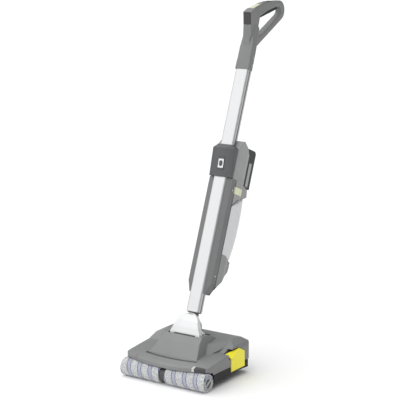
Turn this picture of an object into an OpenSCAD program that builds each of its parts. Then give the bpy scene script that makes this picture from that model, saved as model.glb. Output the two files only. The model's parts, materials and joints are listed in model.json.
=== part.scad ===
// Upright battery floor scrubber: a floor head with a centre-driven pair of rollers,
// a neck that pitches and rolls, and a stick with tank, battery and loop handle.
// +X is the machine's right-hand side, +Y points to the user behind it, +Z is up.

/* [Floor head] */
// Width of the head cover
head_w = 310; // [306:1:312]
// From the roller axis to the rear face of the head
head_back = 246; // [244:1:250]
// Height of the shoulders beside the hump
deck_z = 77; // [76:1:78]
// Height of the hump in front of the neck
hump_z = 134; // [133:1:136]
// Height of the rear section of the cover
rear_z = 114; // [112:1:116]
// Underside of the chassis above the floor
clear_z = 20; // [18:1:21]
// Wall thickness of the moulded shells
wall = 2.6; // [2.2:0.1:3]

/* [Roller drive] */
// Outer radius of the microfibre fleece
roller_r = 29; // [28.5:0.5:29]
// Outer end of the roller halves, measured from the middle
roller_end = 158; // [157:1:159]
// Outer radius of the roller core
core_r = 20; // [19:0.5:20]
// Half thickness of the gearbox between the roller halves
gearbox_half = 9.5; // [9:0.5:10]
// Teeth on the roller gear
roller_teeth = 36; // [36:4:36]
// Teeth on the idler gear, an even number
idler_teeth = 32; // [32:4:32]
// Teeth on the motor pinion
pinion_teeth = 18; // [18:2:18]
// Gear module
gear_module = 1; // [1:1:1]

/* [Neck] */
// Backward lean of the stick, in degrees from the vertical
lean = 21; // [19:1:23]
// Pitch axis of the neck, measured from the roller axis
pivot_y = 126; // [125:1:127]
// Pitch axis of the neck above the floor
pivot_z = 120; // [119:1:121]
// Radius of the neck barrel on the pitch axis
barrel_r = 28; // [27:0.5:28]
// Roll axis of the stick, measured along the stick from the pitch axis
roll_s = 31; // [30:1:32]
// Radius of the dome over the roll axis
dome_r = 42; // [41:1:43]

/* [Stick] */
// Lower end of the tube along the stick
tube_start = 78; // [78:1:80]
// Upper end of the tube along the stick
tube_end = 930; // [925:1:935]
// Width of the tube
tube_w = 48; // [47:0.5:48]
// Depth of the tube
tube_d = 28; // [27:0.5:28]
// Half width of the body housings
body_half = 44; // [43.5:0.5:44.5]
// Lower edge of the handle stem along the stick
handle_start = 872; // [868:1:876]
// Half width of the handle loop
grip_half = 12; // [11.5:0.5:13]
// Half width of the front bar of the handle
front_half = 16; // [15.5:0.5:17]

/* [Hidden] */
$fn = 48;

// Small running and assembly gaps
gap = 0.3;
slip = 0.05;

// ---- Derived places, all measured from the roller axis along Y ----
roller_z = roller_r;
mesh_angle = 28.3;
roller_idler = gear_module * (roller_teeth + idler_teeth) / 2;
idler_pinion = gear_module * (idler_teeth + pinion_teeth) / 2;
idler_at = [roller_idler * cos(mesh_angle), roller_z + roller_idler * sin(mesh_angle)];
motor_at = idler_at + idler_pinion * [cos(mesh_angle), sin(mesh_angle)];
half_start = gearbox_half + 2;
bay_r = roller_r + 2;
side_x = head_w / 2;
band_top = clear_z + 26;
tank_y = 136;
latch_y0 = 131;
latch_y1 = 207;
latch_hinge = [153.6, 32];
wheel_at = [105, 224, 14];
cheek_x = 60.5;
cheek_t = 5.6;
groove_z = 69;
motor_r = 19;
recess_z = 98;
lip_arc_r = 546;
lip_front = -21;
collar_tilt = 6.2;
collar_h = 92;
tube_mid = 1;
shell_back = 22;
shell_start = 140;
collar_start = 516;
trigger_hinge = [0, 106, 1127];
// Rear end of the handle loop, in stick coordinates
loop_rear = [124, 1115];
loop_rear_r = 33;
rear_reach = pivot_y + loop_rear[0] * cos(lean) + loop_rear[1] * sin(lean) + loop_rear_r;
// The origin lies on the floor under the middle of the whole machine
origin_shift = -(rear_reach - roller_r) / 2;

// ---- Placing ----
module in_row() translate([0, origin_shift, 0]) children();
module on_stick() in_row() translate([0, pivot_y, pivot_z]) rotate([-lean, 0, 0]) children();
// Extrudes a profile drawn in Y and Z along X, from x0 to x1
module along_x(x0, x1) translate([x0, 0, 0]) rotate([90, 0, 90]) linear_extrude(x1 - x0) children();
// Extrudes a profile drawn in X and Z along Y, from y0 to y1
module along_y(y0, y1) translate([0, y1, 0]) rotate([90, 0, 0]) linear_extrude(y1 - y0) children();
module both_sides() {
    children();
    mirror([1, 0, 0]) children();
}
module rod_x(r, x0, x1) translate([x0, 0, 0]) rotate([0, 90, 0]) cylinder(r = r, h = x1 - x0);
module rod_y(r, y0, y1) translate([0, y0, 0]) rotate([-90, 0, 0]) cylinder(r = r, h = y1 - y0);
module ring_x(r_out, r_in, x0, x1) difference() {
    rod_x(r_out, x0, x1);
    rod_x(r_in, x0 - 1, x1 + 1);
}
module slab(x, y, z) translate([x[0], y[0], z[0]]) cube([x[1] - x[0], y[1] - y[0], z[1] - z[0]]);

// Rectangle with true round corners, centred
module round_rect(w, d, r) {
    square([w - 2 * r, d], center = true);
    square([w, d - 2 * r], center = true);
    for (sx = [-1, 1], sy = [-1, 1]) translate([sx * (w / 2 - r), sy * (d / 2 - r)]) circle(r = r);
}
// A closed outline with its corners rounded outwards and inwards
module soften(r) offset(r = r, $fn = 24) offset(delta = -r) children();

// ---- Involute gears ----
function polar(r, angle) = r * [cos(angle), sin(angle)];
function inv(a) = (tan(a) - a * PI / 180) * 180 / PI;
function flank(teeth, rad) =
    let (pitch_r = gear_module * teeth / 2, base_r = pitch_r * cos(20), backlash = 0.25)
    90 / teeth - backlash / 2 / pitch_r * 180 / PI + inv(20) - inv(acos(min(1, base_r / rad)));
function tooth(teeth, at) =
    let (pitch_r = gear_module * teeth / 2, base_r = pitch_r * cos(20), steps = 4,
        tip_r = pitch_r + 0.95 * gear_module, root_r = pitch_r - 1.25 * gear_module,
        radii = [for (i = [0:steps]) base_r + (tip_r - base_r) * i / steps])
    concat(
        root_r < base_r ? [polar(root_r, at - flank(teeth, base_r))] : [],
        [for (r = radii) polar(r, at - flank(teeth, r))],
        [for (i = [steps:-1:0]) polar(radii[i], at + flank(teeth, radii[i]))],
        root_r < base_r ? [polar(root_r, at + flank(teeth, base_r))] : []);
// Spur gear drawn in the Y-Z plane, with one tooth centred on the angle first
module spur_gear(teeth, first, half) along_x(-half, half)
    polygon([for (i = [0:teeth - 1]) for (p = tooth(teeth, first + 360 * i / teeth)) p]);

// ---- Floor head shapes ----
// Plan outline of the head, drawn in by d
module head_plan(d = 0) soften(16) intersection() {
    translate([-side_x + d, -60]) square([2 * (side_x - d), 60 + head_back - d]);
    translate([0, lip_front + lip_arc_r]) circle(r = lip_arc_r - d, $fn = 240);
}
// Side profile of the shoulders and rear section
module head_side(d = 0) polygon([
    [-30, 56 - d], [-30, 62 - d], [-21, 66 - d], [-8, 71 - d], [10, 75 - d], [30, deck_z + 1 - d],
    [127, 87 - d], [150, 101 - d], [172, rear_z + 1 - d], [192, rear_z + 4 - d], [228, rear_z + 1 - d],
    [241 - d, 104 - d], [head_back - d, 86 - d / 2], [head_back - d, band_top - 2 * d],
    [33, band_top - 2 * d], [27, 56 - d]]);
module level(w, y0, y1, z) translate([-w, y0, z]) cube([2 * w, y1 - y0, 0.1]);
// The hump that carries the neck
module hump(d = 0) hull() {
    level(95 - d, 29 + d, 188 - d, 60 - 4 * d);
    level(91 - d, 33 + d, 188 - d, 74 - d);
    level(74 - d, 73 + d, 168 - d, 116 - d);
    level(69 - d, 98 + d, 130 - d, hump_z - 0.1 - d);
}
// The facets that lead from the hump's sides to the rear section
module wing() {
    corners = [[88, 84, 78], [78, 116, 110], [72, 170, 115], [124, 150, 99], [127, 171, 113], [88, 150, 70]];
    hull() for (p = corners) translate(p) cube(0.5);
}
module head_solid(d = 0) {
    intersection() {
        linear_extrude(200) head_plan(d);
        along_x(-side_x - 5, side_x + 5) head_side(d);
        hull() {
            translate([-side_x, -60, 0]) cube([2 * side_x, 400, 90 - d]);
            translate([-side_x + 7, -60, 0]) cube([2 * side_x - 14, 400, 104 - d]);
            translate([-side_x + 40, -60, 0]) cube([2 * side_x - 80, 400, rear_z + 9]);
        }
    }
    hump(d);
}
// Outline of the latch on the side of the head, in Y and Z
module latch_outline() polygon([
    [latch_y0, 29], [latch_y1 + 2, 29], [latch_y1, 80], [178, 94.5], [164, 91], [latch_y0, 74]]);
// Recess in the side of the head that the latch lies in, widened by d
module latch_recess(d = 0) along_x(150.5 - d, 170) offset(delta = 1.2 + d) {
    latch_outline();
    translate([latch_y0, 20]) square([latch_y1 + 2 - latch_y0, 20]);
}
// Recess in the right shoulder for the flap of the right latch, widened by d
module flap_recess(d = 0) along_y(119 - d, 179 + d)
    polygon([[133 - d, 84 - d], [150.5 - d, 70 - d], [170, 70 - d], [170, 97 + d], [133 - d, 97 + d]]);

// Plan of the groove behind the lip, widened by d
module groove_plan(d) intersection() {
    difference() {
        translate([0, lip_front + lip_arc_r]) circle(r = lip_arc_r - 37 + d, $fn = 240);
        translate([0, lip_front + lip_arc_r]) circle(r = lip_arc_r - 46 - d, $fn = 240);
    }
    translate([-96 - d, -40]) square([192 + 2 * d, 120]);
}
module head_cover() color("#8d8e8f") in_row() difference() {
    union() {
        difference() {
            union() {
                head_solid();
                both_sides() wing();
            }
            difference() {
                head_solid(wall);
                both_sides() latch_recess(wall);
                flap_recess(wall);
                translate([0, 0, groove_z - wall]) linear_extrude(30) groove_plan(wall);
                slab([-42 - wall, 42 + wall], [pivot_y, 186 + wall], [recess_z - wall, 200]);
            }
            translate([0, 0, band_top - 30]) linear_extrude(30) square(900, center = true);
        }
        // Screw posts
        both_sides() for (post = [[52, 79], [108, 84.5]])
            translate([125, post[0], clear_z + 3.2]) cylinder(r = 5, h = post[1] - clear_z - 3.2);
    }
    both_sides() {
        latch_recess();
        for (y = [52, 108]) translate([125, y, clear_z]) cylinder(r = 1.9, h = 40);
    }
    flap_recess();
    // Room for the rollers and the neck barrel
    translate([0, 0, roller_z]) rod_x(bay_r, -200, 200);
    translate([0, pivot_y, pivot_z]) rod_x(barrel_r + 5, -59, 59);
    // Groove between the lip and the hump
    translate([0, 0, groove_z]) linear_extrude(30) groove_plan(0);
    // Recess the neck leans back into
    slab([-42, 42], [pivot_y, 186], [recess_z, 200]);
    // Opening for the dirty water tank
    slab([-129, 129], [200, head_back + 5], [20, 85.5]);
    slab([-129, 129], [200, head_back - wall - 0.5], [20, 86]);
}

module chassis_tray() color("#26282b") in_row() difference() {
    union() {
        difference() {
            translate([0, 0, clear_z]) linear_extrude(band_top - clear_z - gap) intersection() {
                head_plan(3);
                translate([-200, 16]) square([400, 300]);
            }
            translate([0, 0, clear_z + 3]) linear_extrude(60) intersection() {
                head_plan(3 + wall);
                translate([-200, 40]) square([400, 300]);
            }
        }
        // Raised floor under the dirty water tank
        slab([-147, 147], [131, 134], [clear_z, 56]);
        slab([-147, 147], [131, head_back - 6], [30, 33]);
        both_sides() slab([130, 133], [131, head_back - 6], [clear_z, 44]);
        // Wheel housings
        both_sides() slab([95, 116], [207, head_back - 4], [clear_z, 32]);
        // Cheeks that carry the neck
        both_sides() along_x(cheek_x, cheek_x + cheek_t) {
            polygon([
                [104, clear_z + 1], [133, clear_z + 1], [133, 96],
                [136, pivot_z], [116, pivot_z], [104, 90]]);
            translate([pivot_y, pivot_z]) circle(r = 10.4);
        }
        // Screw towers
        both_sides() for (y = [52, 108]) translate([125, y, clear_z]) cylinder(r = 6.5, h = 3);
        // Cradle of the motor
        slab([14, 76], [motor_at[0] - 9, motor_at[0] + 9], [clear_z + 1, motor_at[1] - 16]);
    }
    translate([0, 0, roller_z]) rod_x(bay_r, -200, 200);
    // Slot for the gearbox
    slab([-gearbox_half - gap, gearbox_half + gap], [0, 76], [clear_z - 1, 90]);
    translate([0, motor_at[0], motor_at[1]]) rod_x(motor_r + gap, 9, 82);
    both_sides() {
        translate([0, pivot_y, pivot_z]) rod_x(6 + slip, cheek_x - 1, cheek_x + cheek_t + 1);
        translate([0, wheel_at[1], wheel_at[2] + 8]) slab([98, 112], [-16, 16], [-40, 9]);
        translate([0, wheel_at[1], wheel_at[2]]) rod_x(3 + slip, 93, 118);
        for (y = [52, 108]) {
            translate([125, y, clear_z - 1]) cylinder(r = 2.2, h = 9);
            translate([125, y, clear_z - 1]) cylinder(r = 4.2, h = 2.6);
        }
        latch_recess(0.5);
    }
    // The tank slides out through the rear wall
    slab([-129.5, 129.5], [150, head_back + 5], [33, 90]);
    // Room for the lower front lip of the cover
    translate([0, 0, 52]) linear_extrude(60) translate([-200, -60]) square([400, 90]);
}

module bumper() color("#1d1e20") in_row() difference() {
    for (span = [[35, latch_y0 - 3], [latch_y1 + 3, head_back - 18]])
        translate([0, 0, clear_z + 2]) linear_extrude(band_top - clear_z - 3) intersection() {
            difference() {
                head_plan(-1.2);
                head_plan(3);
            }
            translate([100, span[0]]) square([100, span[1] - span[0]]);
        }
    translate([0, 0, roller_z]) rod_x(bay_r + 2, -200, 200);
}
module bumper_right() bumper();
module bumper_left() mirror([1, 0, 0]) bumper();

// ---- Roller drive ----
module gearbox_profile(d) hull() {
    translate([0, roller_z]) circle(r = 20.4 + d);
    translate(motor_at) circle(r = 15.4 + d);
}
module gearbox_half_shell(side) color("#3a3c3f") in_row() difference() {
    along_x(side > 0 ? 0 : -gearbox_half, side > 0 ? gearbox_half : 0) gearbox_profile(wall);
    along_x(side > 0 ? -1 : -gearbox_half + 3.6, side > 0 ? gearbox_half - 3.6 : 1) gearbox_profile(0);
    translate([0, 0, roller_z])
        rod_x(11 + slip, side > 0 ? 5 : -gearbox_half - 1, side > 0 ? gearbox_half + 1 : -5);
    translate([0, motor_at[0], motor_at[1]]) rod_x(4.2, -gearbox_half - 1, gearbox_half + 1);
    // Blind socket of the idler's own journal
    translate([0, idler_at[0], idler_at[1]]) rod_x(4 + slip, -7.9, 7.9);
}
module gearbox_left() gearbox_half_shell(-1);
module gearbox_right() gearbox_half_shell(1);

module motor_can() color("#8a8d90") in_row() translate([0, motor_at[0], motor_at[1]]) difference() {
    union() {
        rod_x(motor_r, gearbox_half + gap, 78);
        rod_x(8, 78, 81.5);
    }
    rod_x(3 + slip, 0, 60);
    ring_x(motor_r - 3, motor_r - 4.5, 71, 90);
}
module motor_rotor() color("#b9bcc0") in_row() translate([0, motor_at[0], motor_at[1]]) {
    rod_x(3, -6, 59);
    spur_gear(pinion_teeth, mesh_angle + 180, 4.5);
}
module idler_gear() color("#d8d4c4") in_row() translate([0, idler_at[0], idler_at[1]]) {
    spur_gear(idler_teeth, mesh_angle + 180 + 180 / idler_teeth, 4.5);
    rod_x(4, -7.6, 7.6);
}
module roller_gear() color("#d8d4c4") in_row() translate([0, 0, roller_z]) difference() {
    spur_gear(roller_teeth, mesh_angle, 4.5);
    rod_x(5 + slip, -10, 10);
}
module roller_bearings() color("#b9bcc0") in_row() translate([0, 0, roller_z]) both_sides()
    ring_x(11, 5 + slip, 5.9, gearbox_half);
module roller_shaft() color("#b9bcc0") in_row() translate([0, 0, roller_z]) rod_x(5, -62, 62);

module roller_core() color("#5b5e62") in_row() translate([0, 0, roller_z]) {
    ring_x(core_r, core_r - wall, half_start, roller_end - 4);
    for (x = [half_start, 48]) ring_x(core_r - wall, 5 + slip, x, x + 12);
}
module roller_core_right() roller_core();
module roller_core_left() mirror([1, 0, 0]) roller_core();

module fleece() color("#c9ced6") in_row() translate([0, 0, roller_z])
    ring_x(roller_r, core_r + slip, half_start, roller_end - 1);
module fleece_right() fleece();
module fleece_left() mirror([1, 0, 0]) fleece();

// End cap with two half-moon finger recesses and a bar between them
module roller_cap() color("#6d7074") in_row() translate([0, 0, roller_z]) difference() {
    union() {
        rod_x(core_r - wall - slip, roller_end - 18, roller_end - 3);
        rod_x(core_r, roller_end - 4 + slip, roller_end);
    }
    rotate([35, 0, 0]) for (s = [-1, 1]) intersection() {
        rod_x(core_r - 5, roller_end - 15, roller_end + 1);
        translate([roller_end - 16, -40, s > 0 ? 3 : -43]) cube([30, 80, 40]);
    }
}
module roller_cap_right() roller_cap();
module roller_cap_left() mirror([1, 0, 0]) roller_cap();

// ---- Wiper, spray bar, wheels and latches ----
module wiper_holder() color("#3a3c3f") in_row() both_sides()
    along_x(gearbox_half + 3, 144) polygon([
        [27.2, band_top - gap], [31.5, band_top - gap], [30.6, 52], [30.6, 60], [27, 60], [27, 50]]);
module wiper_lip() color("#3c3f44") in_row() both_sides()
    along_x(gearbox_half + 4, 143) polygon([[19.9, 51], [27, 51.4], [27, 52.9], [19.4, 52.2]]);
module spray_bar() color("#2c2e31") in_row() difference() {
    translate([0, 8, 64.6]) rod_x(3.4, -136, 136);
    translate([0, 8, 64.6]) rod_x(2.2, -134, 134);
    for (x = [-120:24:120]) translate([x, 8, 55]) cylinder(r = 0.8, h = 9);
}
module wheel() color("#2b2d30") in_row() translate([0, wheel_at[1], wheel_at[2]]) difference() {
    union() {
        rod_x(wheel_at[2], wheel_at[0] - 5, wheel_at[0] + 5);
        rod_x(6, wheel_at[0] - 6.4, wheel_at[0] + 6.4);
    }
    rod_x(3 + slip, 90, 120);
}
module wheel_right() wheel();
module wheel_left() mirror([1, 0, 0]) wheel();
module wheel_axles() color("#b9bcc0") in_row() both_sides()
    translate([0, wheel_at[1], wheel_at[2]]) rod_x(3, 94, 117);

module latch() color("#f2e21f") in_row() difference() {
    union() {
        along_x(151.8, 156.4) latch_outline();
        translate([latch_hinge[0], 0, latch_hinge[1]]) rod_y(2.9, latch_y0, latch_y1);
    }
    translate([latch_hinge[0], 0, latch_hinge[1]]) rod_y(1.5 + slip, latch_y0 - 2, latch_y1 + 4);
}
// Flap of the right latch, which wraps over the shoulder to a point
module latch_flap() color("#f2e21f") in_row() hull()
    for (p = [[153, latch_y0, 72], [153, 175, 92], [139.5, 121.5, 84.6], [141, 150, 86.5]])
        translate(p) cube([1.2, 1.2, 2]);
module latch_right() {
    latch();
    latch_flap();
}
module latch_left() mirror([1, 0, 0]) latch();
module latch_pins() color("#b9bcc0") in_row() both_sides()
    translate([latch_hinge[0], 0, latch_hinge[1]]) rod_y(1.5, latch_y0 - 1.1, latch_y1 + 1.1);

module head_screws() color("#9a9da1") in_row() both_sides() for (y = [52, 108]) translate([125, y, 0]) {
    translate([0, 0, clear_z + 0.2]) cylinder(r = 3.8, h = 1.3);
    translate([0, 0, clear_z + 1.5]) cylinder(r = 1.85, h = 26);
}

// ---- Dirty water tank ----
module dirty_tank() color("#4a4d51") in_row() difference() {
    union() {
        difference() {
            slab([-128, 128], [tank_y, head_back], [33.3, 82]);
            slab([-128 + wall, 128 - wall], [tank_y + wall, head_back - wall], [33.3 + wall, 90]);
        }
        // Grip pocket in the rear wall
        slab([-46, 46], [head_back - 18, head_back], [58, 82]);
    }
    slab([-43, 43], [head_back - 15, head_back + 1], [55, 77]);
}
module dirty_tank_lid() color("#2c2e31") in_row() difference() {
    slab([-127, 127], [tank_y + 1, head_back - 1], [82, 84.5]);
    // Inlet for the dirty water and the float valve
    slab([-110, -20], [tank_y + 4, tank_y + 26], [80, 90]);
    slab([20, 110], [tank_y + 4, tank_y + 26], [80, 90]);
}

// ---- Neck ----
// Front outline of the bell, drawn in by d
module bell_front(d = 0) polygon(concat(
    [[57 - d, -8], [56 - d, 6]],
    [for (a = [10:4:170]) [0, roll_s] + (dome_r - d) * [cos(a), sin(a)]],
    [[-56 + d, 6], [-57 + d, -8]]));
// Side profile of the bell, with the stick upright
module bell_side(d = 0) polygon([
    [-8, -8], [-26 + d, -8], [-barrel_r - 1 + d, 8], [-30 + d, 24], [-28 + d, 46], [-22 + d, 64 - d],
    [-14, 73 - d], [-9.5, 73 - d], [-9.5, 26], [8, 18], [8, 6]]);
module bell_shell() color("#e9eaeb") on_stick() difference() {
    intersection() {
        along_y(-60, 60) bell_front();
        along_x(-80, 80) bell_side();
    }
    // Hollow, open at the rear
    intersection() {
        along_y(-60, 60) bell_front(wall);
        along_x(-80, 80) {
            bell_side(wall);
            translate([-18, 26]) square([30, 47 - wall]);
        }
    }
    intersection() {
        along_y(-60, 60) bell_front(wall);
        translate([-80, -18, -20]) cube([160, 60, 46]);
    }
    rod_x(barrel_r + 0.2, -40, 40);
    rod_x(14, -60, 60);
    translate([0, 0, roll_s]) rod_y(8.2, -27, 10);
}
module neck_core() color("#3a3c3f") on_stick() difference() {
    union() {
        ring_x(barrel_r, barrel_r - 3, -39.8, 39.8);
        both_sides() {
            rod_x(barrel_r - 1, 35, 39.8);
            rod_x(13.5, 35, 57);
        }
        // Fork plates on both sides of the tongue
        along_y(9, 21) intersection() {
            translate([0, roll_s]) circle(r = 27);
            translate([-27, 16]) square([54, 60]);
        }
        along_y(-18, -9) {
            translate([0, roll_s]) circle(r = 14);
            translate([-14, 14]) square([28, 17]);
        }
        along_y(-18, 21) translate([-27, 14]) square([54, 6]);
    }
    rod_x(barrel_r - 3, -35, 35);
    both_sides() rod_x(9 + slip, 49.9, 58);
    both_sides() rod_x(6.5, 34, 51);
    translate([0, 0, roll_s]) rod_y(6 + slip, -30, 30);
    // Sweep of the tongue's round end
    translate([0, 0, roll_s]) rod_y(17.4, -9, 9);
}
module pivot_bushes() color("#d8d4c4") on_stick() both_sides() ring_x(9, 6 + slip, 50, 57);
module pivot_pins() color("#b9bcc0") in_row() translate([0, pivot_y, pivot_z]) both_sides()
    rod_x(6, 51, cheek_x + cheek_t);
module roll_pin() color("#b9bcc0") on_stick() translate([0, 0, roll_s]) rod_y(6, -18, 21);

// ---- Stick ----
module tube_profile(d = 0) translate([0, tube_mid])
    round_rect(tube_w - 2 * d, tube_d - 2 * d, 7 - min(d, 5));
module main_tube() color("#dcdee0") on_stick() translate([0, 0, tube_start])
    linear_extrude(tube_end - tube_start) difference() {
        tube_profile();
        tube_profile(1.8);
        // Grooves for the dark trim strips
        both_sides() translate([tube_w / 2 - 1, tube_mid - 3]) square([3, 5]);
    }
module tube_strips() color("#3a3c3f") on_stick() both_sides()
    translate([tube_w / 2 - 0.95, tube_mid - 2.9, tube_start])
        cube([1.25, 4.8, handle_start - tube_start - gap]);
module tube_foot() color("#3a3c3f") on_stick() difference() {
    union() {
        translate([0, 0, tube_start + gap]) linear_extrude(36) tube_profile(2);
        translate([0, 0, tube_start - 3]) linear_extrude(3) tube_profile(3);
        // Tongue
        along_y(-8.6, 8.6) {
            translate([0, roll_s]) circle(r = 16.6);
            translate([-14, roll_s]) square([28, tube_start - roll_s + 1]);
        }
    }
    translate([0, 0, roll_s]) rod_y(6 + slip, -30, 30);
    translate([0, tube_mid, tube_start - 20]) cylinder(r = 5, h = 80);
}

// Cross-section of the front shell that holds the tube, with slanted strips beside it
module shell_section() polygon([
    [-26, -8], [-body_half, -2], [-body_half, shell_back],
    [body_half, shell_back], [body_half, -2], [26, -8]]);
module tube_bore() translate([0, tube_mid]) round_rect(tube_w + 2 * gap, tube_d + 2 * gap, 7 + gap);
module tube_slot() {
    tube_bore();
    translate([-tube_w / 2 - gap, -30]) square([tube_w + 2 * gap, 30]);
}
module front_shell() color("#77797b") on_stick() difference() {
    intersection() {
        translate([0, 0, shell_start]) linear_extrude(collar_start - shell_start - gap) shell_section();
        along_y(-40, 40) polygon([[-46, 800], [-46, 181], [-28, 138], [28, 138], [46, 181], [46, 800]]);
    }
    translate([0, 0, shell_start - 1]) linear_extrude(600) tube_slot();
    // Hollows beside the tube
    translate([0, 0, 174]) linear_extrude(600) both_sides()
        polygon([[27.5, -4.7], [body_half - 4, -0.5], [body_half - 4, 19.5], [27.5, 19.5]]);
}
// The collar's own frame, tilted forwards at the top
module on_collar() on_stick() translate([0, 0, collar_start + 2]) rotate([collar_tilt, 0, 0]) children();
module collar_section() intersection() {
    translate([-42, -60]) square([84, 75]);
    translate([0, 107]) circle(r = 124.5, $fn = 240);
}
module collar() color("#606264") difference() {
    on_collar() {
        linear_extrude(collar_h) collar_section();
        // The top slopes back to the tube
        hull() {
            translate([0, 0, collar_h - 0.1]) linear_extrude(0.1) collar_section();
            translate([-26, -7, collar_h + 13]) cube([52, 20, 0.1]);
        }
    }
    on_stick() {
        translate([0, 0, collar_start - 1]) linear_extrude(300) tube_bore();
        translate([0, 0, collar_start - 9]) slab([-60, 60], [-0.3, 60], [0, 200]);
    }
    on_collar() {
        slab([-12.4, 12.4], [-40, -16.2], [22, 62]);
        translate([0, 0, 42]) rod_y(5.4, -40, -10);
    }
}
module icon_plate() color("#f1f1ef") on_collar() difference() {
    slab([-12, 12], [-17.8, -16.2], [22.4, 61.6]);
    translate([0, 0, 42]) rod_y(5.4, -40, -10);
}
module release_button() color("#4a4d51") on_collar() translate([0, 0, 42]) rod_y(5, -19.6, -12.6);

module upper_profile() polygon([
    [0, collar_start], [0, 616], [22, 643], [29, 643.4], [51, 629.3], [74.5, 612.7], [78, 612.2], [78, 509],
    [106.5, 499.5], [111.5, 476.5], [shell_back + gap, 432.5], [shell_back + gap, collar_start]]);
// Plan outline of the housings, drawn in by d
module housing_plan(d = 0) offset(delta = -d) polygon([
    [-42.6, 0], [-body_half, 13], [-body_half, 56], [-37.5, 76], [-37.5, 130],
    [37.5, 130], [37.5, 76], [body_half, 56], [body_half, 13], [42.6, 0]]);
module upper_housing() color("#8d8e8f") on_stick() difference() {
    intersection() {
        along_x(-body_half, body_half) upper_profile();
        linear_extrude(800) housing_plan();
    }
    difference() {
        intersection() {
            along_x(-body_half, body_half) offset(delta = -wall) upper_profile();
            linear_extrude(800) housing_plan(wall);
        }
        // Solid block round the battery contacts
        slab([-16, 16], [60, 80], [498, 518]);
        // Block that guides the battery latch
        slab([-16, 16], [46, 80], [605, 640]);
    }
    // The tube passes through at the front
    translate([0, 0, collar_start - 1]) linear_extrude(300) tube_bore();
    translate([0, 0, collar_start - 1]) slab([-29, 29], [-5, 30], [0, 90]);
    // Groove for the battery rails
    both_sides() slab([24, 30.5], [73.5, 80], [514, 650]);
    // Socket of the battery latch
    slab([-12.3, 12.3], [50, 90], [611.7, 660]);
}
// Side profile of the tank, which cuts its slanted top and bottom
module tank_profile() polygon([
    [shell_back + gap, 274], [shell_back + gap, 431.8], [130, 484.8], [130, 252.5], [88, 258.6], [47, 274]]);
// Cross-section of the tank at the height s, reaching back to rear
module tank_level(s, rear, d) translate([0, 0, s]) linear_extrude(0.1) hull() {
    translate([-42.5 + d, 0]) square([85 - 2 * d, 30]);
    for (x = [-18.5, 18.5]) translate([x, rear - 24]) circle(r = 24 - d, $fn = 48);
}
// Levels as pairs of height and rear face
tank_levels = [[250, 88], [300, 101], [345, 107.4], [420, 107.4], [445, 105], [470, 102]];
module tank_body(d = 0) hull() for (at = tank_levels) tank_level(at[0], at[1], d);
module fresh_tank() color("#cfd3d6") on_stick() difference() {
    intersection() {
        tank_body();
        along_x(-46, 46) tank_profile();
    }
    difference() {
        intersection() {
            tank_body(wall);
            along_x(-46, 46) offset(delta = -wall) tank_profile();
        }
        // Seat of the filler cap
        translate([0, 0, 385]) rod_y(22, 95, 120);
    }
    // Filler neck
    translate([0, 0, 385]) rod_y(13, 80, 130);
    translate([0, 0, 385]) rod_y(18.4, 103.5, 130);
    // Outlet
    translate([0, 0, 292]) rod_y(3, 10, 40);
}
module tank_cap() color("#3a3c3f") on_stick() translate([0, 0, 385]) difference() {
    union() {
        rod_y(12.8, 95, 104);
        rod_y(18, 103.7, 107);
    }
    for (s = [-1, 1]) translate([s * 9, 0, 0]) slab([-4, 4], [105, 130], [-12, 12]);
}
module lower_profile() polygon([
    [shell_back + gap, 272.5], [46, 272.5], [89, 256.8], [90, 240], [87, 224], [64, 198], [48, 178],
    [30, 155], [shell_back + gap, 138]]);
// Front outline of the lower housing, drawn in by d
module lower_front(d = 0) polygon([
    [-body_half + d, 300], [-body_half + d, 192 + d / 2], [-30 + d, 138 + d / 2], [30 - d, 138 + d / 2],
    [body_half - d, 192 + d / 2], [body_half - d, 300]]);
module lower_housing() color("#8d8e8f") on_stick() difference() {
    intersection() {
        along_x(-body_half, body_half) lower_profile();
        along_y(-40, 140) lower_front();
        linear_extrude(400) housing_plan();
    }
    intersection() {
        along_x(-body_half, body_half) offset(delta = -wall) lower_profile();
        along_y(-40, 140) lower_front(wall);
        linear_extrude(400) housing_plan(wall);
    }
    slab([-30, 30], [10, 30], [160, 262]);
}

module water_pump() color("#5b5e62") on_stick() {
    translate([0, 46, 206]) cylinder(r = 15, h = 36);
    translate([0, 46, 241]) cylinder(r = 11, h = 13);
    translate([0, 46, 200]) cylinder(r = 4, h = 7);
}
module control_board() color("#2f6b3a") on_stick() {
    slab([-32, 32], [42, 43.6], [486, 598]);
    slab([-28, -6], [31, 42.5], [556, 584]);
    slab([4, 28], [34, 42.5], [520, 560]);
    translate([0, 0, 500]) rod_y(6, 30, 42.5);
}
module feed_hose() color("#c8ccd0") on_stick() translate([0, tube_mid, 122]) difference() {
    cylinder(r = 4, h = 420);
    translate([0, 0, -1]) cylinder(r = 2.6, h = 430);
}

module battery_pack() color("#2a2c2f") on_stick() {
    along_x(-36, 36) soften(3) polygon([
        [78.4, 511.4], [78.4, 614.4], [68.2, 619.4], [68.2, 630], [112, 630], [119, 622], [119, 502.4],
        [108, 502.4]]);
    // Rails that ride in the housing's grooves
    both_sides() slab([24.6, 30], [74, 79], [516, 620]);
}
module battery_latch() color("#4a4d51") on_stick() slab([-12, 12], [55.5, 67.8], [612, 628.5]);

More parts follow.
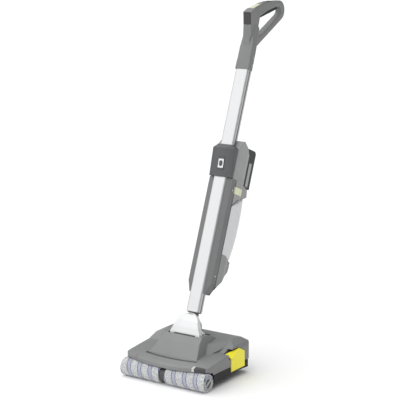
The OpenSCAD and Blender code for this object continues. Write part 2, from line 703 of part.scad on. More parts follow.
// ---- Handle ----
// Outer outline of the handle in Y and Z, with its rear end on a true arc
module handle_outline() soften(4) {
    polygon([
        [-15, handle_start], [-15, 950], [-22, 980], [-33, 1014], [-50, 1053], [-34, 1068], [14, 1103],
        [30, 1111.5], [80, 1133], [109, 1144.5], loop_rear, [147.5, 1091.7], [34, 965], [22, 948],
        [18, 930], [18, handle_start]]);
    translate(loop_rear) circle(r = loop_rear_r, $fn = 96);
}
module handle_opening(d = 0) offset(delta = d) soften(8) polygon([
    [12, 1056], [14, 1028], [21, 1001], [36, 998], [128, 1100], [135, 1112], [132, 1122], [118, 1126],
    [97, 1117.5], [56, 1092]]);
module handle_solid(d = 0) {
    difference() {
        along_x(-grip_half + d, grip_half - d) offset(delta = -d) handle_outline();
        along_x(-60, 60) handle_opening(d);
    }
    // Broad front bar under the head of the handle
    along_x(-front_half + d, front_half - d) offset(delta = -d) intersection() {
        handle_outline();
        polygon([[-60, 980], [-60, 1064], [-20, 1074], [9, 1058], [11, 1028], [14, 980]]);
    }
    // Stem that widens down to the tube
    intersection() {
        along_y(-60, 60) polygon([
            [-26 + d, handle_start - 1], [26 - d, handle_start - 1], [24 - d, handle_start + 79],
            [front_half + 1 - d, handle_start + 149], [-front_half - 1 + d, handle_start + 149],
            [-24 + d, handle_start + 79]]);
        translate([0, 0, handle_start - 1]) linear_extrude(150) stem_section(26 - d, d);
    }
}
// Flat front and chamfered back of the stem
module stem_section(half_w, d) polygon([
    [-half_w + d, -14.5 + d], [-half_w, -11], [-half_w, 10], [-half_w + 7, 17.2 - d],
    [half_w - 7, 17.2 - d], [half_w, 10], [half_w, -11], [half_w - d, -14.5 + d]]);
module handle_half(side) color("#808284") on_stick() difference() {
    intersection() {
        handle_solid();
        translate([side > 0 ? 0 : -100, -100, handle_start]) cube([100, 400, 400]);
    }
    intersection() {
        handle_solid(wall);
        translate([-100, -100, tube_end + 6]) cube([200, 400, 400]);
    }
    translate([0, 0, handle_start - 1]) linear_extrude(tube_end - handle_start + 2) tube_profile(-0.1);
    // Seats of the trigger, the power button, the display and the lean pad
    trigger_seat();
    on_grip() slab([-8.4, 8.4], [-20.4, 20.4], [-3.9, 20]);
    on_brow() slab([-8.3, 8.3], [-22, 22], [-1.9, 20]);
    on_bar_front() slab([-13.2, 13.2], [-20, 1.8], [-19, 19]);
    translate(trigger_hinge) rod_x(2 + slip, -20, 20);
}
// Places things on the top of the grip, on the brow in front of it and on the front bar
module on_grip() translate([0, 55, 1122.25]) rotate([23.3, 0, 0]) children();
module on_brow() translate([0, -10, 1085.5]) rotate([36.1, 0, 0]) children();
module on_bar_front() translate([0, -41.5, 1033.5]) rotate([23.6, 0, 0]) children();
module lean_pad() color("#2b2d30") on_stick() on_bar_front() slab([-13, 13], [-0.8, 1.6], [-18.8, 18.8]);
module handle_left() handle_half(-1);
module handle_right() handle_half(1);

module trigger_profile(d = 0) offset(delta = d) polygon([
    [22, 1061], [22, 1072], [98, 1126], [106, 1131], [110, 1127], [110, 1119], [100, 1113.5], [60, 1089]]);
module trigger() color("#1d1e20") on_stick() difference() {
    along_x(-7.5, 7.5) trigger_profile();
    translate(trigger_hinge) rod_x(2 + slip, -20, 20);
}
// Space the trigger sweeps as it is pulled into the grip
module trigger_seat() along_x(-8, 8) for (pull = [0:0.7:2.8])
    translate([trigger_hinge[1], trigger_hinge[2]]) rotate(-pull)
        translate([-trigger_hinge[1], -trigger_hinge[2]]) trigger_profile(0.5);
module trigger_pin() color("#b9bcc0") on_stick() translate(trigger_hinge) rod_x(2, -12, 12);
module power_button() color("#4a4d51") on_stick() on_grip() {
    slab([-8, 8], [-20, 20], [-4, 1.2]);
    slab([-9, 9], [-22, 22], [-7, -4]);
}
module handle_display() color("#e8e9d8") on_stick() on_brow() slab([-8, 8], [-21.6, 21.6], [-1.8, 0.3]);

module stick_screws() color("#9a9da1") on_stick() {
    for (at = [[890, 25.7], [915, 25.1]])
        both_sides() translate([0, 3, at[0]]) rod_x(2.4, at[1], at[1] + 0.8);
    for (z = [200, 480]) both_sides() translate([body_half, 10, z]) rod_x(2.6, 0, 0.8);
}

chassis_tray();
head_cover();
bumper_left();
bumper_right();
gearbox_left();
gearbox_right();
motor_can();
wiper_holder();
wiper_lip();
spray_bar();
pivot_pins();
wheel_axles();
latch_pins();
roller_bearings();
head_screws();
roller_shaft();
roller_gear();
roller_core_left();
roller_core_right();
fleece_left();
fleece_right();
roller_cap_left();
roller_cap_right();
idler_gear();
motor_rotor();
wheel_left();
wheel_right();
latch_left();
latch_right();
dirty_tank();
dirty_tank_lid();
bell_shell();
neck_core();
pivot_bushes();
roll_pin();
main_tube();
tube_strips();
tube_foot();
front_shell();
collar();
upper_housing();
lower_housing();
icon_plate();
water_pump();
control_board();
feed_hose();
handle_left();
handle_right();
lean_pad();
handle_display();
stick_screws();
release_button();
fresh_tank();
tank_cap();
battery_pack();
battery_latch();
trigger();
trigger_pin();
power_button();
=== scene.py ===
import json
import math

import bmesh
import bpy
from mathutils import Matrix, Vector, noise


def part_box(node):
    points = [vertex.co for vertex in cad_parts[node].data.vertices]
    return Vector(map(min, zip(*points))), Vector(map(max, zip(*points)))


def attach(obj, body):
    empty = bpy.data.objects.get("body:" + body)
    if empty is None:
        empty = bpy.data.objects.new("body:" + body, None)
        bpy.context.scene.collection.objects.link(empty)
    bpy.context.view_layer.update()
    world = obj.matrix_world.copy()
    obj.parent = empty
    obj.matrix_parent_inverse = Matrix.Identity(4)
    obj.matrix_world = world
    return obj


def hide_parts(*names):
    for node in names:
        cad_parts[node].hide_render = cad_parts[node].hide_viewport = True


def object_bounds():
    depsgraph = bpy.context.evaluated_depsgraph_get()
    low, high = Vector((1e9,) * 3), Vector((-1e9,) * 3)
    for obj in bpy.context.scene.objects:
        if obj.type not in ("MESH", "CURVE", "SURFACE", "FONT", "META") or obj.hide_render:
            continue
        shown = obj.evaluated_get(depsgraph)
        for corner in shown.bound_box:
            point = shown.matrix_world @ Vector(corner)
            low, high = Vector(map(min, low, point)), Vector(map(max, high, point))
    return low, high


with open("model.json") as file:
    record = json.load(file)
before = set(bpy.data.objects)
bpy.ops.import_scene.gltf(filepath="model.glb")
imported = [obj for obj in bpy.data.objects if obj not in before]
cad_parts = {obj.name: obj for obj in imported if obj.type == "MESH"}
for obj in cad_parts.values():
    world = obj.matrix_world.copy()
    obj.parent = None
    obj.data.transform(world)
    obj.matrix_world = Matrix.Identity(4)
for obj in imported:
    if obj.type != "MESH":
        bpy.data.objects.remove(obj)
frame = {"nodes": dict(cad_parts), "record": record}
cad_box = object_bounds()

MM = 0.001
record = frame["record"]
behaviour = record["behaviour"]
body_of_node = {node: body for body, nodes in behaviour["bodies"].items() for node in nodes}
slot_of_node = {part["node"]: part["material_slot"] for part in record["subparts"]}
low, high = (Vector(corner) for corner in cad_box)
middle = (low + high) / 2
joints = {joint["name"]: joint for joint in behaviour["joints"]}
pivot = Vector(joints["neck_pitch"]["pos_m"])
along = (Vector(joints["stick_roll"]["pos_m"]) - pivot).normalized()
roller_box = [Vector(corner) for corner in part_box("fleece_right")]
roller_axis = (roller_box[0] + roller_box[1]) / 2
roller_r = (roller_box[1].z - roller_box[0].z) / 2


def stick_frame():
    """The stick's own axes, from the pitch pivot: X to the right, Y to the rear, Z up the tube."""
    right = Vector((1, 0, 0))
    rear = along.cross(right)
    return Matrix.Translation(pivot) @ Matrix((right, rear, along)).transposed().to_4x4()


stick = stick_frame()


# ---- Camera, floor and light ----
def turned(azimuth, pitch):
    """The rotation of a camera or light that looks along azimuth and down by pitch, in degrees."""
    swing = Matrix.Rotation(math.radians(azimuth), 3, "Z")
    return swing @ Matrix.Rotation(math.radians(90 - pitch), 3, "X")


def make_camera():
    """The photograph's view, through a long lens from the front right and a little above."""
    azimuth, pitch, distance = 34.16, 11.36, 4.2685
    lens, sensor = 119.69, 36
    aim = middle + Vector((-0.05585, -0.05306, -0.04661))
    rotation = turned(azimuth, pitch)
    camera = bpy.data.objects.new("camera", bpy.data.cameras.new("camera"))
    camera.data.lens = lens
    camera.data.sensor_width = sensor
    camera.rotation_euler = rotation.to_euler()
    camera.location = aim + rotation @ Vector((0, 0, distance))
    bpy.context.scene.collection.objects.link(camera)
    bpy.context.scene.camera = camera


def make_sun(name, azimuth, pitch, strength, angle):
    """A broad, soft sun that shines from azimuth and height angle pitch, in degrees."""
    light = bpy.data.objects.new(name, bpy.data.lights.new(name, "SUN"))
    light.data.energy = strength
    light.data.angle = math.radians(angle)
    light.rotation_euler = turned(azimuth, pitch).to_euler()
    bpy.context.scene.collection.objects.link(light)


def make_stage():
    """A plain pale floor, 120 m across, under an even white sky."""
    half, floor_tone, sky = 60, 0.9, 0.42
    corners = [(-half, -half, 0), (half, -half, 0), (half, half, 0), (-half, half, 0)]
    mesh = bpy.data.meshes.new("floor")
    mesh.from_pydata(corners, [], [(0, 1, 2, 3)])
    floor = bpy.data.objects.new("floor", mesh)
    material = bpy.data.materials.new("pale_floor")
    material.use_nodes = True
    shader = material.node_tree.nodes["Principled BSDF"]
    shader.inputs["Base Color"].default_value = (floor_tone, floor_tone, floor_tone, 1)
    shader.inputs["Roughness"].default_value = 0.7
    shader.inputs["Specular IOR Level"].default_value = 0.1
    mesh.materials.append(material)
    bpy.context.scene.collection.objects.link(floor)
    world = bpy.data.worlds.new("studio")
    world.use_nodes = True
    world.node_tree.nodes["Background"].inputs["Color"].default_value = (1, 1, 1, 1)
    world.node_tree.nodes["Background"].inputs["Strength"].default_value = sky
    bpy.context.scene.world = world
    bpy.context.scene.view_settings.view_transform = "Standard"


make_camera()
make_stage()
make_sun("key", azimuth=-38, pitch=60, strength=2.9, angle=110)


# ---- Material helpers ----
class Nodes:
    """A material's node tree, with short calls for adding nodes and links."""

    def __init__(self, name):
        self.material = bpy.data.materials.new(name)
        self.material.use_nodes = True
        self.tree = self.material.node_tree
        self.shader = self.tree.nodes["Principled BSDF"]
        self.place = self.add("ShaderNodeTexCoord").outputs["Object"]

    def add(self, kind, **settings):
        node = self.tree.nodes.new(kind)
        for name, value in settings.items():
            setattr(node, name, value)
        return node

    def link(self, source, target):
        self.tree.links.new(source, target)

    def feed(self, target, value):
        """Links value to target if it is a socket, and else sets it."""
        if hasattr(value, "is_output"):
            self.link(value, target)
        else:
            target.default_value = value

    def noise(self, scale, detail=3.0, rough=0.5, at=None):
        node = self.add("ShaderNodeTexNoise")
        node.inputs["Scale"].default_value = scale
        node.inputs["Detail"].default_value = detail
        node.inputs["Roughness"].default_value = rough
        self.link(at or self.place, node.inputs["Vector"])
        return node.outputs["Fac"]

    def stretch(self, value, low_in, high_in, low_out, high_out):
        """value, moved from its own range to another and kept within that."""
        limits = {"From Min": low_in, "From Max": high_in, "To Min": low_out, "To Max": high_out}
        node = self.add("ShaderNodeMapRange")
        for name, number in limits.items():
            node.inputs[name].default_value = number
        self.link(value, node.inputs["Value"])
        return node.outputs["Result"]

    def sums(self, kind, a, b=0.0):
        node = self.add("ShaderNodeMath", operation=kind)
        for socket, value in zip(node.inputs, (a, b)):
            self.feed(socket, value)
        return node.outputs[0]

    def blend(self, factor, a, b):
        node = self.add("ShaderNodeMix", data_type="RGBA")
        self.feed(node.inputs["Factor"], factor)
        self.feed(node.inputs[6], a)
        self.feed(node.inputs[7], b)
        return node.outputs[2]

    def bump(self, height, distance, strength=1.0, below=None):
        node = self.add("ShaderNodeBump")
        node.inputs["Distance"].default_value = distance
        node.inputs["Strength"].default_value = strength
        self.link(height, node.inputs["Height"])
        if below:
            self.link(below, node.inputs["Normal"])
        return node.outputs["Normal"]

    def axes(self):
        node = self.add("ShaderNodeSeparateXYZ")
        self.link(self.place, node.inputs[0])
        return node.outputs

    def set(self, **values):
        for name, value in values.items():
            self.shader.inputs[name.replace("_", " ")].default_value = value


def rgba(color):
    return (*color, 1)


def lighter(color, factor):
    return rgba([min(1, c * factor) for c in color])


def moulded(name, color, rough=0.45, grain=0.9, depth=0.035, coat=0.0, edge=1.6, paint=None):
    """Moulded plastic: fine spark-eroded grain, slight colour clouds, a painted highlight on convex
    edges, and rounded edges.

    grain, depth and edge are in MM. paint, where given, makes another colour from the node
    helper and the base colour."""
    highlight_strength = 0.12
    n = Nodes(name)
    clouds = n.noise(9, 2)
    base = n.blend(n.stretch(clouds, 0.3, 0.7, 0, 1), lighter(color, 0.955), lighter(color, 1.045))
    if paint:
        base = paint(n, base)
    edges = n.add("ShaderNodeNewGeometry").outputs["Pointiness"]
    # Painted highlight: convex edges, found by pointiness, are lightened towards a paler copy of the
    # colour.
    edge_highlight = n.sums("MULTIPLY", n.stretch(edges, 0.52, 0.6, 0, highlight_strength), n.noise(60, 2))
    n.link(n.blend(edge_highlight, base, lighter(color, 1.8)), n.shader.inputs["Base Color"])
    fine = n.noise(1 / (grain * MM), 2, 0.6)
    smear = n.noise(25, 3)
    n.link(n.stretch(smear, 0.3, 0.7, rough - 0.05, rough + 0.06), n.shader.inputs["Roughness"])
    rounded = n.add("ShaderNodeBevel", samples=6)
    rounded.inputs["Radius"].default_value = edge * MM
    n.link(n.bump(fine, depth * MM, 0.6, rounded.outputs["Normal"]), n.shader.inputs["Normal"])
    n.set(Coat_Weight=coat, Coat_Roughness=0.12)
    return n.material


def metal(name, color, rough=0.3, brush=(400, 400, 6)):
    """Brushed or ground metal, with fine lines across the axes that brush scales up."""
    n = Nodes(name)
    stretch = n.add("ShaderNodeMapping")
    stretch.inputs["Scale"].default_value = brush
    n.link(n.place, stretch.inputs["Vector"])
    lines = n.noise(1.0, 4, 0.6, at=stretch.outputs["Vector"])
    n.link(n.blend(lines, lighter(color, 0.9), lighter(color, 1.06)), n.shader.inputs["Base Color"])
    n.link(n.stretch(lines, 0.2, 0.8, rough - 0.06, rough + 0.08), n.shader.inputs["Roughness"])
    n.link(n.bump(lines, 0.012 * MM, 0.5), n.shader.inputs["Normal"])
    n.set(Metallic=1.0)
    return n.material


def rubber(name, color, rough=0.7):
    n = Nodes(name)
    dust = n.stretch(n.noise(30, 4), 0.4, 0.75, 0, 0.5)
    n.link(n.blend(dust, rgba(color), lighter(color, 1.7)), n.shader.inputs["Base Color"])
    patches = n.noise(120, 2)
    n.link(n.stretch(patches, 0.3, 0.7, rough - 0.08, rough + 0.08), n.shader.inputs["Roughness"])
    n.link(n.bump(n.noise(1500, 2), 0.04 * MM, 0.7), n.shader.inputs["Normal"])
    return n.material


def stick_height(n):
    """The height along the stick, in metres from the pitch pivot, of the point being shaded."""
    node = n.add("ShaderNodeVectorMath", operation="DOT_PRODUCT")
    n.link(n.place, node.inputs[0])
    node.inputs[1].default_value = along
    return n.sums("SUBTRACT", node.outputs["Value"], along.dot(pivot))


def dark_tip(n, base):
    """The soft dark boot at the lower end of the housing."""
    boot_top, softness, boot_black = 168 * MM, 1.5 * MM, (0.03, 0.031, 0.033)
    tip = n.stretch(stick_height(n), boot_top, boot_top + softness, 1, 0)
    return n.blend(tip, base, rgba(boot_black))


def mesh_cloth(name, color, pitch):
    """Dark woven insert with small square openings, pitch MM apart."""
    n = Nodes(name)
    x, y, z = n.axes()
    wave = math.tau / (pitch * MM)
    across = n.sums("SINE", n.sums("MULTIPLY", x, wave))
    upward = n.sums("SINE", n.sums("MULTIPLY", n.sums("ADD", y, z), wave))
    weave = n.stretch(n.sums("MULTIPLY", across, upward), -0.6, 0.6, 0, 1)
    n.link(n.blend(weave, lighter(color, 0.45), lighter(color, 1.9)), n.shader.inputs["Base Color"])
    n.link(n.stretch(n.noise(90, 2), 0.3, 0.7, 0.5, 0.7), n.shader.inputs["Roughness"])
    n.link(n.bump(weave, 0.25 * MM), n.shader.inputs["Normal"])
    return n.material


def microfibre(name, phase):
    """Short pale pile with helical pairs of blue lines, one pitch for each turn of the roller."""
    pitch, shift = 40 * MM, 0.275
    dark_pile, pale_pile = (0.25, 0.255, 0.26), (0.66, 0.665, 0.665)
    band_blue, line_blue = (0.27, 0.29, 0.39), (0.07, 0.085, 0.2)
    n = Nodes(name)
    x, y, z = n.axes()
    rise, reach = n.sums("SUBTRACT", z, roller_axis.z), n.sums("SUBTRACT", y, roller_axis.y)
    angle = n.sums("ARCTAN2", rise, reach)
    turns = n.sums("SUBTRACT", n.sums("DIVIDE", x, pitch), n.sums("DIVIDE", angle, math.tau))
    wavy = n.sums("ADD", turns, n.sums("MULTIPLY", n.noise(350, 2), 0.05))
    place = n.sums("FRACT", n.sums("SUBTRACT", wavy, phase + shift))
    band = n.sums("MULTIPLY", n.stretch(place, 0.0, 0.03, 0, 1), n.stretch(place, 0.37, 0.4, 1, 0))
    lines = None
    for start in (0.0, 0.33):
        line = n.sums("MULTIPLY", n.stretch(place, start, start + 0.02, 0, 1),
                      n.stretch(place, start + 0.05, start + 0.08, 1, 0))
        lines = n.sums("MAXIMUM", lines, line) if lines else line
    tufts = n.noise(700, 4, 0.65)
    clumps = n.noise(260, 2)
    shade = n.sums("MULTIPLY", n.sums("ADD", tufts, clumps), 0.5)
    pile = n.blend(n.stretch(shade, 0.36, 0.62, 0, 1), rgba(dark_pile), rgba(pale_pile))
    tint = n.blend(n.sums("MULTIPLY", band, 0.55), pile, rgba(band_blue))
    colour = n.blend(n.sums("MULTIPLY", lines, 0.95), tint, rgba(line_blue))
    n.link(colour, n.shader.inputs["Base Color"])
    n.link(n.stretch(tufts, 0.2, 0.8, 0.85, 1.0), n.shader.inputs["Roughness"])
    n.link(n.bump(n.noise(1400, 3, 0.7), 0.5 * MM, 0.8), n.shader.inputs["Normal"])
    n.set(Sheen_Weight=0.35, Sheen_Roughness=0.5, Specular_IOR_Level=0.2)
    return n.material


# One material for each slot of the record.
materials = {
    "grey_plastic": moulded("grey_plastic", (0.19, 0.192, 0.193), 0.42, edge=2.6),
    "dark_plastic": moulded("dark_plastic", (0.062, 0.064, 0.067), 0.33, edge=1.5),
    "black_plastic": moulded("black_plastic", (0.02, 0.021, 0.023), 0.5, edge=1.2),
    "black_rubber": rubber("black_rubber", (0.014, 0.014, 0.015)),
    "gearbox_plastic": moulded("gearbox_plastic", (0.05, 0.05, 0.054), 0.5, edge=1.0),
    "gear_plastic": moulded("gear_plastic", (0.7, 0.67, 0.56), 0.35, edge=0.3),
    "steel": metal("steel", (0.56, 0.57, 0.58), 0.28),
    "cast_metal": moulded("cast_metal", (0.06, 0.061, 0.064), 0.45, 1.4, 0.08),
    "wiper_rubber": rubber("wiper_rubber", (0.03, 0.03, 0.034)),
    "wheel_rubber": rubber("wheel_rubber", (0.022, 0.022, 0.024)),
    "core_plastic": moulded("core_plastic", (0.36, 0.37, 0.38), 0.45, edge=1.0),
    "microfibre": microfibre("microfibre", 0.25),
    "yellow_plastic": moulded("yellow_plastic", (0.93, 0.83, 0.03), 0.35, edge=1.6),
    "white_plastic": moulded("white_plastic", (0.66, 0.665, 0.67), 0.3, coat=0.3, edge=2.0),
    "aluminium_tube": metal("aluminium_tube", (0.55, 0.555, 0.56), 0.42, (300, 300, 4)),
    "circuit_board": moulded("circuit_board", (0.03, 0.2, 0.07), 0.4, edge=0.3),
    "clear_hose": moulded("clear_hose", (0.7, 0.73, 0.75), 0.3, edge=0.3),
    "pale_plastic": moulded("pale_plastic", (0.72, 0.72, 0.5), 0.25, coat=0.4, edge=0.5),
    "black_gloss": moulded("black_gloss", (0.014, 0.014, 0.016), 0.2, coat=0.6, edge=1.0),
    "clear_tank": moulded("clear_tank", (0.64, 0.65, 0.66), 0.25, coat=0.3, edge=3.0),
    "battery_plastic": moulded("battery_plastic", (0.02, 0.02, 0.022), 0.5, edge=1.5),
}
# Materials of single nodes and of the pieces made here, which differ from their slot's own.
finishes = {
    "front_shell": moulded("shell_grey", (0.13, 0.132, 0.134), 0.42, edge=1.5),
    "upper_housing": moulded("housing_grey", (0.29, 0.293, 0.295), 0.42, edge=2.0),
    "lower_housing": moulded("lower_housing_grey", (0.24, 0.243, 0.245), 0.42, edge=2.0,
                             paint=dark_tip),
    "handle": moulded("handle_grey", (0.175, 0.177, 0.179), 0.4, edge=1.0),
    "fleece_left": microfibre("microfibre_left", 0.0),
    "mesh_insert": mesh_cloth("mesh_insert", (0.05, 0.05, 0.055), 3.2),
    "cream_insert": moulded("cream_insert", (0.52, 0.52, 0.48), 0.5, edge=0.3),
    "mauve_insert": moulded("mauve_insert", (0.2, 0.18, 0.185), 0.5, edge=0.3),
    "blank_label": moulded("blank_label", (0.74, 0.77, 0.5), 0.35, edge=0.2),
    "battery_label": moulded("battery_label", (0.34, 0.35, 0.36), 0.4, edge=0.2),
    "trigger": rubber("trigger_black", (0.006, 0.006, 0.007), 0.6),
    "shadow_gap": moulded("shadow_gap", (0.012, 0.012, 0.013), 0.7, edge=0.2),
}


# ---- Mesh helpers ----
def new_object(name, mesh):
    obj = bpy.data.objects.new(name, mesh)
    bpy.context.scene.collection.objects.link(obj)
    return obj


def from_faces(name, points, faces, smooth=True):
    mesh = bpy.data.meshes.new(name)
    mesh.from_pydata([tuple(p) for p in points], [], faces)
    mesh.update()
    if smooth:
        mesh.shade_smooth()
    return new_object(name, mesh)


def baked(obj):
    """Applies obj's modifiers to its mesh."""
    graph = bpy.context.evaluated_depsgraph_get()
    mesh = bpy.data.meshes.new_from_object(obj.evaluated_get(graph))
    obj.modifiers.clear()
    obj.data = mesh


def finish_piece(obj, node, material=None, slot=None):
    """Puts obj on the node's body, in the node's material slot unless another is given."""
    obj.data.materials.clear()
    obj.data.materials.append(material or materials[slot or slot_of_node[node]])
    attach(obj, body_of_node[node])


def rounded_copy(name, nodes, voxel, passes, hull=False, core=None, reach=None):
    """The shape of CAD nodes with all its edges and corners rounded, by remeshing and smoothing.

    voxel is in MM, and passes counts the smoothing. core is the matrix of a box that fills a
    hollow whose walls are too thin to keep. A hull may also take in the shape moved by reach."""
    work = bmesh.new()
    for node in nodes:
        work.from_mesh(frame["nodes"][node].data)
    if reach:
        for vert in list(work.verts):
            work.verts.new(vert.co + reach)
    if core:
        bmesh.ops.create_cube(work, size=1, matrix=core)
    if hull:
        shell = bmesh.ops.convex_hull(work, input=work.verts)
        inside = set(shell["geom_interior"]) | set(shell["geom_unused"])
        spare = [g for g in inside if isinstance(g, bmesh.types.BMVert)]
        bmesh.ops.delete(work, geom=spare, context="VERTS")
    mesh = bpy.data.meshes.new(name)
    work.to_mesh(mesh)
    work.free()
    obj = new_object(name, mesh)
    remesh = obj.modifiers.new("remesh", "REMESH")
    remesh.mode = "VOXEL"
    remesh.voxel_size = voxel * MM
    relax = obj.modifiers.new("relax", "SMOOTH")
    relax.factor = 0.5
    relax.iterations = passes
    baked(obj)
    obj.data.shade_smooth()
    return obj


def facing(origin, across, out):
    """A frame on the stick, at origin in MM, with X along across and Z along out."""
    x, z = Vector(across).normalized(), Vector(out).normalized()
    local = Matrix((x, z.cross(x), z)).transposed().to_4x4()
    local.translation = Vector(origin) * MM
    return stick @ local


def oval_outline(width, height, corner):
    """Points of a rectangle with round corners, in MM, round the origin."""
    steps = 6
    points = []
    for quarter, (sx, sy) in enumerate(((1, 1), (-1, 1), (-1, -1), (1, -1))):
        for step in range(steps + 1):
            a = math.radians(90 * quarter + 90 * step / steps)
            points.append((sx * (width / 2 - corner) + corner * math.cos(a),
                           sy * (height / 2 - corner) + corner * math.sin(a)))
    return points


def joined(rings, count):
    """The faces between rings of count points, where each ring is given by its first point."""
    return [(a + i, a + (i + 1) % count, b + (i + 1) % count, b + i)
            for a, b in zip(rings[:-1], rings[1:]) for i in range(count)]


def plate(name, matrix, outline, thick, hole=None):
    """A thin plate on a face: outline in MM, with a bevelled rim and sometimes a hole."""
    base, rim = -0.4, 0.25
    loops = [(base, 1.0), (thick - rim, 1.0), (thick, 1 - rim / 8)]
    count = len(outline)
    points = [matrix @ (Vector((x * grow, y * grow, z)) * MM) for z, grow in loops for x, y in outline]
    last = (len(loops) - 1) * count
    faces = joined([k * count for k in range(len(loops))], count)
    if hole:
        points += [matrix @ (Vector((x, y, z)) * MM) for z in (thick, base) for x, y in hole]
        faces += joined([last, last + count, last + 2 * count, 0], count)
    else:
        faces += [tuple(range(last, last + count)), tuple(range(count - 1, -1, -1))]
    return from_faces(name, points, faces, smooth=False)


# ---- Rollers ----
def on_roller(x, radius, angle):
    """The point at x, radius from the rollers' axis and turned by angle."""
    return x, roller_axis.y + radius * math.cos(angle), roller_axis.z + radius * math.sin(angle)


def make_fleece(side):
    """The microfibre pile of one roller half, as rows of fine tufts."""
    node = "fleece_" + side
    start, end = (corner.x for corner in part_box(node))
    around, rows, trimmed_rows = 220, 150, 3
    core = roller_r - 8 * MM
    points = []
    for row in range(rows + 1):
        x = start + (end - start) * row / rows
        trim = 1.2 * MM * max(0, 1 - min(row, rows - row) / trimmed_rows) ** 2
        for step in range(around):
            a = math.tau * step / around
            at = Vector((x, math.cos(a) * roller_r, math.sin(a) * roller_r))
            tuft = noise.noise(at * 420) * 0.9 + noise.noise(at * 130) * 0.5
            radius = roller_r - 0.5 * MM - trim + min(0.9, max(-1.3, tuft)) * MM
            points.append(on_roller(x, radius, a))
    for x in (end, start):
        points += [on_roller(x, core, math.tau * step / around) for step in range(around)]
    rings = [row * around for row in range(rows + 3)] + [0]
    pile = from_faces(node + "_pile", points, joined(rings, around))
    finish_piece(pile, node, finishes.get(node))
    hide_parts(node)


def make_cap_shadows(side):
    """Black plates painted as shade at the bottom of the two finger recesses in a roller's end cap."""
    node = "roller_cap_" + side
    sign = 1 if side == "right" else -1
    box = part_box(node)
    outer = box[1].x if sign > 0 else box[0].x
    tilt, radius, bar, steps = math.radians(35), 14.6 * MM, 3.2 * MM, 18
    points, faces = [], []
    for half in (1, -1):
        first = len(points)
        limit = math.asin(bar / radius)
        arc = [limit + (math.pi - 2 * limit) * k / steps for k in range(steps + 1)]
        for depth in (14.8, 12.0):
            for a in arc:
                y, z = radius * math.cos(a), half * radius * math.sin(a)
                points.append((outer - sign * depth * MM,
                               roller_axis.y + y * math.cos(tilt) - z * math.sin(tilt),
                               roller_axis.z + y * math.sin(tilt) + z * math.cos(tilt)))
        count = steps + 1
        faces.append(tuple(range(first, first + count)))
        faces.append(tuple(range(first + 2 * count - 1, first + count - 1, -1)))
        faces += joined([first, first + count], count)
    # Painted shade: black plates stand in for the shade inside the finger recesses.
    shade_plates = from_faces(node + "_recess_shade", points, faces, smooth=False)
    finish_piece(shade_plates, node, finishes["shadow_gap"])


# ---- Head ----
def make_insert(name, material, x_range, lift):
    """A thin insert that lies on the lip of the cover, found by rays from in front and above."""
    cover = frame["nodes"]["head_cover"]
    columns, rows, sunk = 14, 12, -0.6
    low_angle, swing = 12, 31
    far, fallback = 90 * MM, 30 * MM
    points, faces = [], []
    for thick in (lift, sunk):
        for column in range(columns + 1):
            x = (x_range[0] + (x_range[1] - x_range[0]) * column / columns) * MM
            centre = Vector((x, roller_axis.y + 25 * MM, 52 * MM))
            for row in range(rows + 1):
                a = math.radians(low_angle + swing * row / rows)
                out = Vector((0, -math.cos(a), math.sin(a)))
                hit, place, normal, _ = cover.ray_cast(centre + out * far, -out)
                points.append(place + normal * thick * MM if hit else centre + out * fallback)
    size = (columns + 1) * (rows + 1)
    step = rows + 1
    for column in range(columns):
        for row in range(rows):
            a = column * step + row
            faces.append((a, a + 1, a + step + 1, a + step))
            faces.append((size + a, size + a + step, size + a + step + 1, size + a + 1))
    rim = list(range(rows)) + [rows + column * step for column in range(columns)]
    rim += [columns * step + row for row in range(rows, 0, -1)]
    rim += [column * step for column in range(columns, 0, -1)]
    faces += [(a, b, size + b, size + a) for a, b in zip(rim, rim[1:] + rim[:1])]
    insert = from_faces(name, points, faces, smooth=False)
    finish_piece(insert, "head_cover", material, "black_plastic")


# ---- Stick ----
def make_handle():
    """Both handle halves as one smooth grip, with the hollow round the tube filled."""
    centre, extent = Vector((0, 1, 905)) * MM, Vector((47, 27, 64)) * MM
    socket = stick @ Matrix.Translation(centre) @ Matrix.Diagonal(extent).to_4x4()
    grip = rounded_copy("handle_body", ["handle_left", "handle_right"], 1.4, 14, core=socket)
    finish_piece(grip, "handle_left", finishes["handle"])
    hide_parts("handle_left", "handle_right")


def make_trigger():
    """The trigger with the deep soft lip that hangs under the grip."""
    lip_depth = 4.5 * MM
    lip = stick.to_3x3() @ Vector((0, 0.55, -0.835)) * lip_depth
    trigger = rounded_copy("trigger_body", ["trigger"], 1.0, 8, hull=True, reach=lip)
    finish_piece(trigger, "trigger", finishes["trigger"])
    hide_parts("trigger")


def make_tank():
    """The tank as one smooth moulding, with a round seat for its cap."""
    tank = rounded_copy("fresh_tank_body", ["fresh_tank"], 2.2, 16, hull=True)
    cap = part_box("tank_cap")
    out = stick.to_3x3() @ Vector((0, 1, 0))
    radius, depth, raised = 18.8 * MM, 16 * MM, 5.4 * MM
    seat = bpy.data.meshes.new("seat")
    work = bmesh.new()
    bmesh.ops.create_cone(work, cap_ends=True, segments=72, radius1=radius, radius2=radius, depth=depth)
    work.to_mesh(seat)
    work.free()
    cutter = new_object("seat", seat)
    upright = out.to_track_quat("Z", "Y").to_matrix().to_4x4()
    cutter.matrix_world = Matrix.Translation((cap[0] + cap[1]) / 2 + out * raised) @ upright
    bpy.context.view_layer.update()
    cut = tank.modifiers.new("seat", "BOOLEAN")
    cut.object = cutter
    cut.operation = "DIFFERENCE"
    baked(tank)
    bpy.data.objects.remove(cutter)
    finish_piece(tank, "fresh_tank")
    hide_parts("fresh_tank")


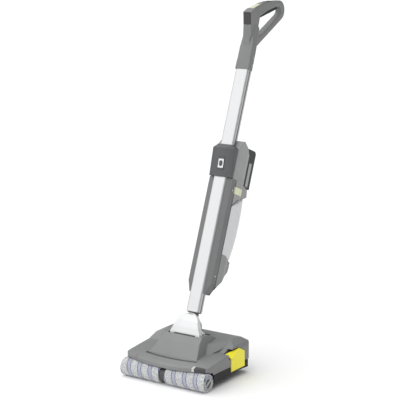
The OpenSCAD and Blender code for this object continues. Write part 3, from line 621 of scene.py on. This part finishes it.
def make_labels():
    """Blank labels, without any lettering."""
    side = facing((44.0, 37.5, 483), (0, 1, 0), (1, 0, 0))
    label = plate("side_label", side, oval_outline(36, 22, 1), 0.35)
    finish_piece(label, "upper_housing", finishes["blank_label"])
    bevel = facing((40.9, 65.4, 483), (-6.5, 20, 0), (20, 6.5, 0))
    label = plate("side_label_rear", bevel, oval_outline(17, 22, 1), 0.35)
    finish_piece(label, "upper_housing", finishes["blank_label"])
    pack = facing((36.0, 98, 548), (0, 1, 0), (1, 0, 0))
    label = plate("battery_label_right", pack, oval_outline(15, 78, 2), 0.3)
    finish_piece(label, "battery_pack", finishes["battery_label"])


def make_icon():
    """A white plate in a dark frame, with a generic oval ring round the release button."""
    low_corner, high_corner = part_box("icon_plate")
    centre = stick.inverted() @ ((low_corner + high_corner) / 2) / MM
    out = stick.to_3x3().inverted() @ Vector(joints["release_press"]["axis"])
    face = facing(centre, (1, 0, 0), -out)
    window = oval_outline(20.5, 29.5, 1.2)
    border = plate("icon_frame", face, oval_outline(23.6, 39, 1), 1.0, window)
    finish_piece(border, "icon_plate", materials["dark_plastic"], "dark_plastic")
    button_hole = oval_outline(10.8, 10.8, 5.4)
    white = plate("icon_plate_body", face, oval_outline(20.4, 29.4, 1.2), 0.8, button_hole)
    finish_piece(white, "icon_plate")
    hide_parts("icon_plate")
    ring_hole = oval_outline(10.4, 10.4, 5.2)
    ring = plate("icon_ring", face, oval_outline(12.6, 19, 6.2), 1.0, ring_hole)
    finish_piece(ring, "icon_plate", materials["dark_plastic"], "dark_plastic")


def make_seams():
    """Black strips painted as the shadow in the gaps between the front shell and the housings, and
    above the tank.
    """
    for side, sign in (("right", 1), ("left", -1)):
        # Painted shadow: thin black strips stand in for the shade in the seams.
        line = facing((sign * 43.9, 22.15, 335), (0, 0, 1), (sign, 0, 0))
        gap_shade = plate("gasket_" + side, line, oval_outline(352, 1.8, 0.8), 0.45)
        finish_piece(gap_shade, "front_shell", finishes["shadow_gap"], "black_rubber")
        slope = facing((sign * 43.7, 39, 445.2), (0, 84.2, 67.2), (sign, 0, 0))
        slope_shade = plate("tank_seal_" + side, slope, oval_outline(42, 2.4, 0.8), 0.5)
        finish_piece(slope_shade, "upper_housing", finishes["shadow_gap"], "black_rubber")


# ---- The whole machine ----
for node, obj in frame["nodes"].items():
    obj.data.materials.clear()
    obj.data.materials.append(finishes.get(node, materials[slot_of_node[node]]))

for side in ("left", "right"):
    make_fleece(side)
    make_cap_shadows(side)
make_insert("lip_mesh", finishes["mesh_insert"], (112, 147), 0.5)
make_insert("lip_tab_right", finishes["cream_insert"], (103.5, 111), 0.6)
make_insert("lip_tab_left", finishes["mauve_insert"], (-116, -106), 0.6)
make_handle()
make_tank()
make_trigger()
make_icon()
make_labels()
make_seams()
